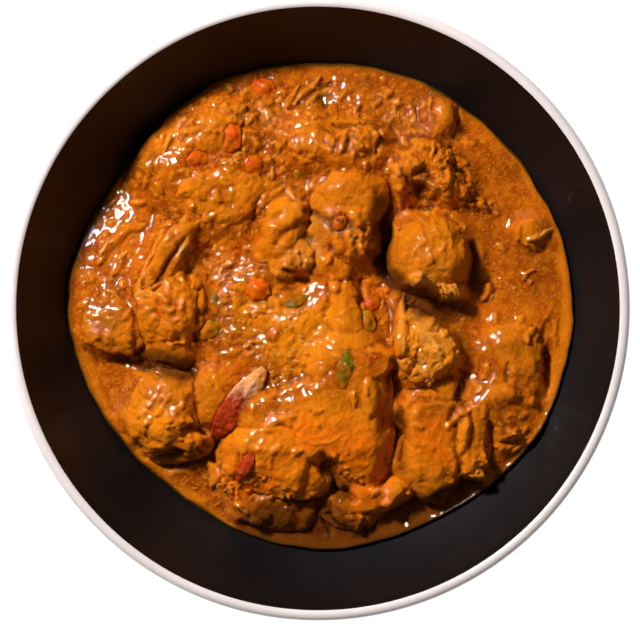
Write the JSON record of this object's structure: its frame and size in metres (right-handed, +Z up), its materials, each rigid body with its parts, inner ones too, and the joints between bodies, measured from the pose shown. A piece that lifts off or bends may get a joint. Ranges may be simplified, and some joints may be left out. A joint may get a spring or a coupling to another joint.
{
  "type": "bowl of chicken curry",
  "caption": "Round bowl of thick curry gravy with chunks of stewed chicken, diced vegetables and herb leaves on top.",
  "frame": {"origin": "on the table, under the middle of the bowl", "axes": "+Z up, out of the bowl; +X to the right and +Y away from the diner, seen from above"},
  "size_m": [0.2, 0.2, 0.07],
  "materials": {
    "bowl_glaze": "smooth white glaze outside and on the lip, satin black glaze inside",
    "gravy": "wet, thick and grainy orange-brown gravy",
    "chicken": "fibrous stewed meat coated with gravy",
    "tomato": "soft wet tomato flesh",
    "carrot": "soft wet carrot",
    "green_pepper": "wet stewed green pepper",
    "chilli": "wet leathery dark red skin",
    "herb": "wilted dark green leaf"
  },
  "bodies": {
    "root": {"bowl": "bowl_glaze", "gravy": "gravy", "chicken_shred": "chicken", "chicken_round": "chicken", "chicken_twin_right": "chicken", "chicken_twin_left": "chicken", "chicken_front_right": "chicken", "chicken_left_strip": "chicken", "chicken_left_block": "chicken", "chicken_front_left": "chicken", "chicken_lower_left": "chicken", "chicken_right_ridge": "chicken", "chicken_under_shred": "chicken", "chicken_right_front": "chicken", "chicken_right_edge": "chicken", "chicken_right_slab": "chicken", "chicken_middle_left": "chicken", "chicken_front_lower_left": "chicken", "chicken_front_lower_right": "chicken", "chicken_front_tip": "chicken", "chicken_back_flake_1": "chicken", "chicken_back_flake_2": "chicken", "chicken_back_flake_3": "chicken", "chicken_back_middle": "chicken", "chicken_back_right": "chicken", "chicken_edge_flake_back": "chicken", "chicken_edge_flake_right": "chicken", "chicken_left_ledge": "chicken", "chicken_upper_left": "chicken", "chicken_crumb": "chicken", "tomato_dice_1": "tomato", "tomato_dice_2": "tomato", "tomato_dice_3": "tomato", "tomato_dice_4": "tomato", "tomato_dice_5": "tomato", "tomato_dice_6": "tomato", "carrot_dice_1": "carrot", "carrot_dice_2": "carrot", "pepper_dice_1": "green_pepper", "pepper_dice_2": "green_pepper", "pepper_dice_3": "green_pepper", "chilli_skin_long": "chilli", "chilli_skin_small": "chilli", "herb_leaf_1": "herb", "herb_leaf_2": "herb", "herb_leaf_3": "herb"}
  },
  "joints": []
}
